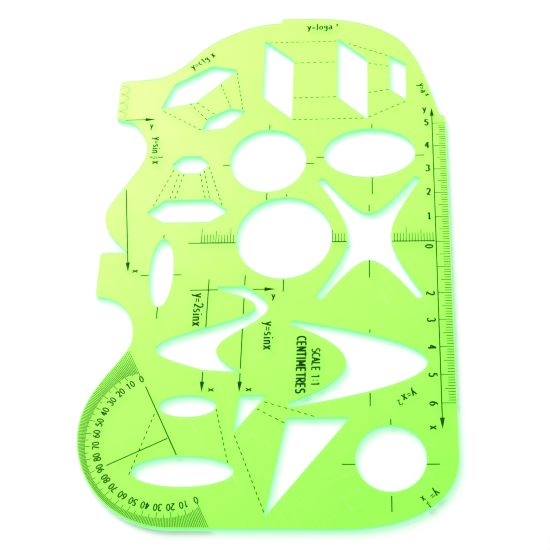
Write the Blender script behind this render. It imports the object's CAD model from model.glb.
# Maths template of clear fluorescent green plastic with dark green print, lying on a white table.
import math

import bpy
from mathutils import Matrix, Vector


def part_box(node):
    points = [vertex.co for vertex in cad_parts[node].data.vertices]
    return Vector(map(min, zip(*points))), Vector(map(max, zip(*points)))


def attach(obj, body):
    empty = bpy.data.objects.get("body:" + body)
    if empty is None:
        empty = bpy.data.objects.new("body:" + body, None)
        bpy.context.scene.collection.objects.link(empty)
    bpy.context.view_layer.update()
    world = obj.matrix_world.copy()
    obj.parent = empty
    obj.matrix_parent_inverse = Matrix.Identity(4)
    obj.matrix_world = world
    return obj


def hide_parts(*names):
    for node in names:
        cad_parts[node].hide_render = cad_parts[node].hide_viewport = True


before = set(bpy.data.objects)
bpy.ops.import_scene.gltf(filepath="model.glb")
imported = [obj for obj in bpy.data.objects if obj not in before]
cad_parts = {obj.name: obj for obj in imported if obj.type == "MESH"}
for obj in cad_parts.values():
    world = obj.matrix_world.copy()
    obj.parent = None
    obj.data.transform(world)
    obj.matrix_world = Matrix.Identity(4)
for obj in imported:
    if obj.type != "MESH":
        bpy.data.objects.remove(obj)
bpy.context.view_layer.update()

MM = 0.001
SHEET_LOW, SHEET_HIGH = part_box("sheet")
SHEET_MIDDLE = (SHEET_LOW + SHEET_HIGH) / 2
SHEET_DIAGONAL = (SHEET_HIGH - SHEET_LOW).length
CORNER_TURN = math.atan2(SHEET_HIGH.y - SHEET_LOW.y, SHEET_HIGH.x - SHEET_LOW.x)

# Softened edges of the cut sheet
EDGE_SOFTENING = 0.11 * MM
EDGE_STEPS = 2
MERGE_GAP = 0.002 * MM
FLAT_ANGLE = math.radians(0.2)
CREASE_ANGLE = math.radians(35)
WALL_LEAN = 0.5
FACE_SLOT, WALL_SLOT = 0, 1

# Colours of the plastic, from the corner by the tab to the corner by the ruler's foot
PALE_LIME = (0.82, 0.98, 0.28, 1)
BRIGHT_LIME = (0.63, 0.98, 0.18, 1)
DEEP_LIME = (0.29, 0.97, 0.06, 1)
FACE_GLOW = (0.46, 1.0, 0.14, 1)
UNDERSIDE_GLOW = (0.38, 0.94, 0.12, 1)
WALL_MINT = (0.12, 0.86, 0.33, 1)
WALL_MINT_DEEP = (0.10, 0.83, 0.26, 1)
FOOT_GLOW = (0.48, 1.0, 0.60, 1)
RIM_GLOW = (0.0, 0.45, 0.20, 1)
SCRATCH_WHITE = (0.95, 1.0, 0.78, 1)
THROUGH_TINT = (0.61, 0.96, 0.71, 1)

# Wear of the plastic
CLOUDING = 0.06
SCRATCH_TURN = math.radians(24)
CROSSING_TURN = math.radians(-58)
SCRATCH_DEPTHS = (0.67, 0.76)

# Print
INK_GREEN = (0.005, 0.048, 0.001, 1)
INK_WORN = (0.026, 0.120, 0.005, 1)
INK_ROUGH = (0.45, 0.7)
SCREEN_RELIEF = 0.01 * MM

# Table and light
TABLE_WHITE = (0.9, 0.9, 0.9, 1)
TABLE_SIZE = 6
TABLE_GAP = 0.05 * MM
ROOM_WHITE = (1, 1, 1, 1)
ROOM_LIGHT = 0.48

# Camera
LENS_LENGTH = 85.63
LENS_SHIFT = (0.0063, 0.0011)
CAMERA_PLACE = (41.207 * MM, -238.369 * MM, 377.055 * MM)
CAMERA_TURN = (math.radians(31.107), math.radians(5.051), math.radians(2.026))


# ---- making -----------------------------------------------------------------

def take_up(piece):
    """Only this piece is selected and active."""
    bpy.ops.object.select_all(action="DESELECT")
    piece.select_set(True)
    bpy.context.view_layer.objects.active = piece


def soften_edges(piece, width, segments):
    """Rounds the sharp edges of a piece a little, as cutting and handling leave them."""
    bevel = piece.modifiers.new("Softened edges", "BEVEL")
    bevel.width = width
    bevel.segments = segments
    bevel.limit_method = "ANGLE"
    bevel.angle_limit = CREASE_ANGLE
    bevel.use_clamp_overlap = False
    take_up(piece)
    bpy.ops.object.modifier_apply(modifier=bevel.name)


def keep_faces_flat(piece):
    """The wide faces shade dead flat, and only the softened rims turn the light."""
    flat = piece.modifiers.new("Flat wide faces", "WEIGHTED_NORMAL")
    flat.mode = "FACE_AREA"
    flat.weight = 100
    flat.keep_sharp = True
    take_up(piece)
    bpy.ops.object.modifier_apply(modifier=flat.name)


def make_sheet():
    """The plastic sheet: the drawn sheet merged into one skin, with its rims softened."""
    piece = bpy.data.objects.new("template_sheet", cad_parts["sheet"].data.copy())
    bpy.context.scene.collection.objects.link(piece)
    take_up(piece)
    bpy.ops.object.mode_set(mode="EDIT")
    bpy.ops.mesh.select_all(action="SELECT")
    bpy.ops.mesh.remove_doubles(threshold=MERGE_GAP)
    bpy.ops.mesh.dissolve_limited(angle_limit=FLAT_ANGLE)
    bpy.ops.object.mode_set(mode="OBJECT")
    soften_edges(piece, EDGE_SOFTENING, EDGE_STEPS)
    bpy.ops.object.shade_smooth_by_angle(angle=CREASE_ANGLE)
    keep_faces_flat(piece)
    return piece


def mark_walls(piece):
    """Gives the upright faces of a piece the wall material, and the rest the face material."""
    for face in piece.data.polygons:
        face.material_index = WALL_SLOT if abs(face.normal.z) < WALL_LEAN else FACE_SLOT


# ---- materials --------------------------------------------------------------

def lay_out(nodes, first_x, first_y, step=210):
    """Sets a run of nodes out from left to right."""
    for place, node in enumerate(nodes):
        node.location = (first_x + place * step, first_y)


def clear_plastic(name, colours, glow_colours, glow, clearness, rough,
                  scratch_size, scratch_whiteness, relief):
    """Clear fluorescent plastic: a fade of colour across the sheet, light wear, and a glow of its own.

    Light from the lamps goes through it to the table with the tint of the plastic.
    colours run from the tab's corner to the ruler's foot, glow_colours from the underside to the
    top rim, and rough from polished to rubbed. relief is the height of the marks in metres.
    """
    material = bpy.data.materials.new(name)
    material.use_nodes = True
    tree = material.node_tree
    tree.nodes.clear()
    links = tree.links

    # Colour
    colour_frame = tree.nodes.new("NodeFrame")
    colour_frame.label = "Colour of the plastic"
    place = tree.nodes.new("ShaderNodeTexCoord")
    place.label = "Place on the sheet"
    turn = tree.nodes.new("ShaderNodeMapping")
    turn.label = "Turn the fade corner to corner"
    turn.inputs["Rotation"].default_value = (0, 0, CORNER_TURN)
    turn.inputs["Scale"].default_value = (1 / SHEET_DIAGONAL, 1 / SHEET_DIAGONAL, 1)
    turn.inputs["Location"].default_value = (0.5, 0, 0)
    fade = tree.nodes.new("ShaderNodeTexGradient")
    fade.label = "Fade across the sheet"
    cloud = tree.nodes.new("ShaderNodeTexNoise")
    cloud.label = "Clouding of the melt"
    cloud.inputs["Scale"].default_value = 28
    cloud.inputs["Detail"].default_value = 3
    cloud_amount = tree.nodes.new("ShaderNodeMapRange")
    cloud_amount.label = "A little clouding"
    cloud_amount.inputs["To Min"].default_value = -CLOUDING
    cloud_amount.inputs["To Max"].default_value = CLOUDING
    join = tree.nodes.new("ShaderNodeMath")
    join.label = "Fade with clouding"
    join.operation = "ADD"
    dye = tree.nodes.new("ShaderNodeValToRGB")
    dye.label = "Dye, pale to deep"
    dye.color_ramp.elements[0].position = 0.08
    dye.color_ramp.elements[0].color = colours[0]
    dye.color_ramp.elements[1].position = 0.92
    dye.color_ramp.elements[1].color = colours[2]
    middle = dye.color_ramp.elements.new(0.5)
    middle.color = colours[1]
    whiteness = tree.nodes.new("ShaderNodeMath")
    whiteness.label = "How white a scratch is"
    whiteness.operation = "MULTIPLY"
    whiteness.inputs[1].default_value = scratch_whiteness
    whitened = tree.nodes.new("ShaderNodeMix")
    whitened.label = "Scratches whiten the plastic"
    whitened.data_type = "RGBA"
    whitened.inputs[7].default_value = SCRATCH_WHITE
    lay_out([place, turn, fade, join, dye, whitened], -1500, 500)
    whiteness.location = (-660, 240)
    lay_out([cloud, cloud_amount], -1290, 240)
    for node in (place, turn, fade, cloud, cloud_amount, join, dye, whiteness, whitened):
        node.parent = colour_frame
    links.new(place.outputs["Object"], turn.inputs["Vector"])
    links.new(turn.outputs["Vector"], fade.inputs["Vector"])
    links.new(place.outputs["Object"], cloud.inputs["Vector"])
    links.new(cloud.outputs["Fac"], cloud_amount.inputs["Value"])
    links.new(fade.outputs["Fac"], join.inputs[0])
    links.new(cloud_amount.outputs["Result"], join.inputs[1])
    links.new(join.outputs["Value"], dye.inputs["Fac"])
    links.new(whiteness.outputs["Value"], whitened.inputs[0])
    links.new(dye.outputs["Color"], whitened.inputs[6])

    # Wear
    wear_frame = tree.nodes.new("NodeFrame")
    wear_frame.label = "Scratches and handling"
    along = tree.nodes.new("ShaderNodeMapping")
    along.label = "Draw scratches out one way"
    along.vector_type = "TEXTURE"
    along.inputs["Rotation"].default_value = (0, 0, SCRATCH_TURN)
    along.inputs["Scale"].default_value = scratch_size
    across = tree.nodes.new("ShaderNodeMapping")
    across.label = "Draw scratches out the other way"
    across.vector_type = "TEXTURE"
    across.inputs["Rotation"].default_value = (0, 0, CROSSING_TURN)
    across.inputs["Scale"].default_value = scratch_size
    long_marks = tree.nodes.new("ShaderNodeTexNoise")
    long_marks.label = "Long scratches"
    long_marks.inputs["Scale"].default_value = 1
    long_marks.inputs["Detail"].default_value = 1
    cross_marks = tree.nodes.new("ShaderNodeTexNoise")
    cross_marks.label = "Crossing scratches"
    cross_marks.inputs["Scale"].default_value = 1
    cross_marks.inputs["Detail"].default_value = 1
    both = tree.nodes.new("ShaderNodeMath")
    both.label = "Stronger of the two"
    both.operation = "MAXIMUM"
    few = tree.nodes.new("ShaderNodeMapRange")
    few.label = "Only the deepest scratches"
    few.inputs["From Min"].default_value = SCRATCH_DEPTHS[0]
    few.inputs["From Max"].default_value = SCRATCH_DEPTHS[1]
    rubbed = tree.nodes.new("ShaderNodeTexNoise")
    rubbed.label = "Patches rubbed by hands"
    rubbed.inputs["Scale"].default_value = 45
    rubbed.inputs["Detail"].default_value = 4
    dulling = tree.nodes.new("ShaderNodeMath")
    dulling.label = "Scratches over patches"
    dulling.operation = "MULTIPLY_ADD"
    dulling.inputs[1].default_value = 0.35
    roughness = tree.nodes.new("ShaderNodeMapRange")
    roughness.label = "Polished to rubbed"
    roughness.inputs["From Min"].default_value = 0.3
    roughness.inputs["From Max"].default_value = 1.1
    roughness.inputs["To Min"].default_value = rough[0]
    roughness.inputs["To Max"].default_value = rough[1]
    lay_out([along, long_marks, both, few, roughness], -1290, -60)
    lay_out([across, cross_marks, rubbed, dulling], -1290, -420)
    for node in (along, across, long_marks, cross_marks, both, few, rubbed, dulling, roughness):
        node.parent = wear_frame
    links.new(place.outputs["Object"], along.inputs["Vector"])
    links.new(place.outputs["Object"], across.inputs["Vector"])
    links.new(along.outputs["Vector"], long_marks.inputs["Vector"])
    links.new(across.outputs["Vector"], cross_marks.inputs["Vector"])
    links.new(long_marks.outputs["Fac"], both.inputs[0])
    links.new(cross_marks.outputs["Fac"], both.inputs[1])
    links.new(both.outputs["Value"], few.inputs["Value"])
    links.new(few.outputs["Result"], whiteness.inputs[0])
    links.new(place.outputs["Object"], rubbed.inputs["Vector"])
    links.new(few.outputs["Result"], dulling.inputs[0])
    links.new(rubbed.outputs["Fac"], dulling.inputs[2])
    links.new(dulling.outputs["Value"], roughness.inputs["Value"])

    # Relief
    relief_frame = tree.nodes.new("NodeFrame")
    relief_frame.label = "Relief"
    ripple = tree.nodes.new("ShaderNodeTexNoise")
    ripple.label = "Slow ripple of the moulding"
    ripple.inputs["Scale"].default_value = 60
    ripple.inputs["Detail"].default_value = 1
    cut = tree.nodes.new("ShaderNodeMath")
    cut.label = "Scratches cut into the ripple"
    cut.operation = "MULTIPLY_ADD"
    cut.inputs[1].default_value = -0.2
    surface = tree.nodes.new("ShaderNodeBump")
    surface.label = "Height of the marks"
    surface.inputs["Strength"].default_value = 0.5
    surface.inputs["Distance"].default_value = relief
    lay_out([ripple, cut, surface], -870, -780)
    for node in (ripple, cut, surface):
        node.parent = relief_frame
    links.new(place.outputs["Object"], ripple.inputs["Vector"])
    links.new(few.outputs["Result"], cut.inputs[0])
    links.new(ripple.outputs["Fac"], cut.inputs[2])
    links.new(cut.outputs["Value"], surface.inputs["Height"])

    # Plastic
    plastic = tree.nodes.new("ShaderNodeBsdfPrincipled")
    plastic.label = "Clear plastic"
    plastic.location = (0, 300)
    plastic.inputs["IOR"].default_value = 1.5
    plastic.inputs["Transmission Weight"].default_value = clearness
    plastic.inputs["Emission Strength"].default_value = glow
    links.new(whitened.outputs[2], plastic.inputs["Base Color"])
    links.new(roughness.outputs["Result"], plastic.inputs["Roughness"])
    links.new(surface.outputs["Normal"], plastic.inputs["Normal"])

    # Glow
    glow_frame = tree.nodes.new("NodeFrame")
    glow_frame.label = "Glow gathered in the sheet"
    height = tree.nodes.new("ShaderNodeSeparateXYZ")
    height.label = "Height in the sheet"
    climb = tree.nodes.new("ShaderNodeMapRange")
    climb.label = "Underside to top face"
    climb.inputs["From Min"].default_value = SHEET_LOW.z
    climb.inputs["From Max"].default_value = SHEET_HIGH.z
    gathered = tree.nodes.new("ShaderNodeValToRGB")
    gathered.label = "Pale at the foot, deep at the rim"
    gathered.color_ramp.elements[0].color = glow_colours[0]
    gathered.color_ramp.elements[1].color = glow_colours[1]
    lay_out([height, climb, gathered], -870, -1100)
    for node in (height, climb, gathered):
        node.parent = glow_frame
    links.new(place.outputs["Object"], height.inputs["Vector"])
    links.new(height.outputs["Z"], climb.inputs["Value"])
    links.new(climb.outputs["Result"], gathered.inputs["Fac"])
    links.new(gathered.outputs["Color"], plastic.inputs["Emission Color"])

    # Light let through to the table
    through_frame = tree.nodes.new("NodeFrame")
    through_frame.label = "Light let through"
    path = tree.nodes.new("ShaderNodeLightPath")
    path.label = "What kind of ray it is"
    lighting = tree.nodes.new("ShaderNodeMath")
    lighting.label = "Rays that light the table"
    lighting.operation = "MAXIMUM"
    tint = tree.nodes.new("ShaderNodeBsdfTransparent")
    tint.label = "Tint of the light let through"
    tint.inputs["Color"].default_value = THROUGH_TINT
    choose = tree.nodes.new("ShaderNodeMixShader")
    choose.label = "Plastic to the eye, tint to the lamps"
    out = tree.nodes.new("ShaderNodeOutputMaterial")
    out.label = "Sheet"
    lay_out([path, lighting], -210, -60)
    tint.location = (0, -240)
    choose.location = (300, 300)
    out.location = (510, 300)
    for node in (path, lighting, tint):
        node.parent = through_frame
    links.new(path.outputs["Is Shadow Ray"], lighting.inputs[0])
    links.new(path.outputs["Is Diffuse Ray"], lighting.inputs[1])
    links.new(lighting.outputs["Value"], choose.inputs["Fac"])
    links.new(plastic.outputs["BSDF"], choose.inputs[1])
    links.new(tint.outputs["BSDF"], choose.inputs[2])
    links.new(choose.outputs["Shader"], out.inputs["Surface"])
    return material


def screen_ink(name, full, worn):
    """Screen-printed ink: full and worn patches, a faint grain and a dull shine."""
    material = bpy.data.materials.new(name)
    material.use_nodes = True
    tree = material.node_tree
    tree.nodes.clear()
    links = tree.links

    film_frame = tree.nodes.new("NodeFrame")
    film_frame.label = "Thickness of the film"
    place = tree.nodes.new("ShaderNodeTexCoord")
    place.label = "Place on the sheet"
    patch = tree.nodes.new("ShaderNodeTexNoise")
    patch.label = "Uneven pull of the squeegee"
    patch.inputs["Scale"].default_value = 260
    patch.inputs["Detail"].default_value = 3
    density = tree.nodes.new("ShaderNodeValToRGB")
    density.label = "Full ink to thin ink"
    density.color_ramp.elements[0].position = 0.42
    density.color_ramp.elements[0].color = full
    density.color_ramp.elements[1].position = 0.78
    density.color_ramp.elements[1].color = worn
    lay_out([place, patch, density], -900, 200)
    for node in (place, patch, density):
        node.parent = film_frame
    links.new(place.outputs["Object"], patch.inputs["Vector"])
    links.new(patch.outputs["Fac"], density.inputs["Fac"])

    grain_frame = tree.nodes.new("NodeFrame")
    grain_frame.label = "Grain of the screen"
    grain = tree.nodes.new("ShaderNodeTexNoise")
    grain.label = "Mesh of the screen"
    grain.inputs["Scale"].default_value = 4200
    grain.inputs["Detail"].default_value = 2
    shine = tree.nodes.new("ShaderNodeMapRange")
    shine.label = "Dull shine"
    shine.inputs["To Min"].default_value = INK_ROUGH[0]
    shine.inputs["To Max"].default_value = INK_ROUGH[1]
    tooth = tree.nodes.new("ShaderNodeBump")
    tooth.label = "Tooth of the dry ink"
    tooth.inputs["Strength"].default_value = 0.3
    tooth.inputs["Distance"].default_value = SCREEN_RELIEF
    lay_out([grain, shine], -690, -120)
    tooth.location = (-480, -400)
    for node in (grain, shine, tooth):
        node.parent = grain_frame
    links.new(place.outputs["Object"], grain.inputs["Vector"])
    links.new(grain.outputs["Fac"], shine.inputs["Value"])
    links.new(grain.outputs["Fac"], tooth.inputs["Height"])

    ink = tree.nodes.new("ShaderNodeBsdfPrincipled")
    ink.label = "Dry ink"
    ink.location = (0, 200)
    ink.inputs["Specular IOR Level"].default_value = 0.05
    out = tree.nodes.new("ShaderNodeOutputMaterial")
    out.label = "Print"
    out.location = (300, 200)
    links.new(density.outputs["Color"], ink.inputs["Base Color"])
    links.new(shine.outputs["Result"], ink.inputs["Roughness"])
    links.new(tooth.outputs["Normal"], ink.inputs["Normal"])
    links.new(ink.outputs["BSDF"], out.inputs["Surface"])
    return material


def white_table(name, white):
    """Plain dull white paint."""
    material = bpy.data.materials.new(name)
    material.use_nodes = True
    tree = material.node_tree
    tree.nodes.clear()
    paint = tree.nodes.new("ShaderNodeBsdfPrincipled")
    paint.label = "White paint"
    paint.inputs["Base Color"].default_value = white
    paint.inputs["Roughness"].default_value = 0.8
    paint.inputs["Specular IOR Level"].default_value = 0.2
    out = tree.nodes.new("ShaderNodeOutputMaterial")
    out.label = "Table"
    out.location = (300, 0)
    tree.links.new(paint.outputs["BSDF"], out.inputs["Surface"])
    return material


# ---- the object -------------------------------------------------------------

face_plastic = clear_plastic(
    "Clear lime plastic",
    colours=(PALE_LIME, BRIGHT_LIME, DEEP_LIME),
    glow_colours=(UNDERSIDE_GLOW, FACE_GLOW),
    glow=0.3,
    clearness=0.85,
    rough=(0.12, 0.34),
    scratch_size=(26 * MM, 0.32 * MM, 26 * MM),
    scratch_whiteness=0.35,
    relief=0.03 * MM,
)
wall_plastic = clear_plastic(
    "Cut wall of the plastic",
    colours=(WALL_MINT, WALL_MINT, WALL_MINT_DEEP),
    glow_colours=(FOOT_GLOW, RIM_GLOW),
    glow=0.55,
    clearness=0.35,
    rough=(0.25, 0.5),
    scratch_size=(1.1 * MM, 1.1 * MM, 8 * MM),
    scratch_whiteness=0.08,
    relief=0.05 * MM,
)
ink = screen_ink("Dark green print", INK_GREEN, INK_WORN)

sheet = make_sheet()
sheet.data.materials.clear()
sheet.data.materials.append(face_plastic)
sheet.data.materials.append(wall_plastic)
mark_walls(sheet)
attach(sheet, "root")
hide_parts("sheet")

for name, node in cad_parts.items():
    if name != "sheet":
        node.data.materials.clear()
        node.data.materials.append(ink)


# ---- table, light and camera ------------------------------------------------

bpy.ops.object.select_all(action="DESELECT")
bpy.ops.mesh.primitive_plane_add(size=TABLE_SIZE, location=(0, 0, SHEET_LOW.z - TABLE_GAP))
table = bpy.context.active_object
table.name = "table_top"
table.data.materials.append(white_table("Table paint", TABLE_WHITE))

world = bpy.data.worlds.new("White room")
bpy.context.scene.world = world
world.use_nodes = True
room = world.node_tree.nodes["Background"]
room.inputs["Color"].default_value = ROOM_WHITE
room.inputs["Strength"].default_value = ROOM_LIGHT


def soft_box(name, place, size, power, mirrored):
    """A square soft light that faces the middle of the sheet, and may show mirrored in it."""
    lamp = bpy.data.lights.new(name, "AREA")
    lamp.shape = "SQUARE"
    lamp.size = size
    lamp.energy = power
    light = bpy.data.objects.new(name, lamp)
    light.location = place
    light.visible_glossy = mirrored
    light.visible_transmission = mirrored
    light.rotation_euler = (SHEET_MIDDLE - Vector(place)).to_track_quat("-Z", "Y").to_euler()
    bpy.context.scene.collection.objects.link(light)


soft_box("Key softbox", place=(-0.60, 0.70, 0.95), size=1.0, power=19.5, mirrored=False)
soft_box("Sheen panel", place=(-0.42, 0.72, 0.85), size=0.5, power=1.8, mirrored=True)

lens = bpy.data.cameras.new("Camera")
lens.sensor_width = 36
lens.lens = LENS_LENGTH
lens.shift_x, lens.shift_y = LENS_SHIFT
lens.clip_start = 0.01
camera = bpy.data.objects.new("Camera", lens)
camera.location = CAMERA_PLACE
camera.rotation_euler = CAMERA_TURN
bpy.context.scene.collection.objects.link(camera)
bpy.context.scene.camera = camera

bpy.context.scene.view_settings.view_transform = "Standard"
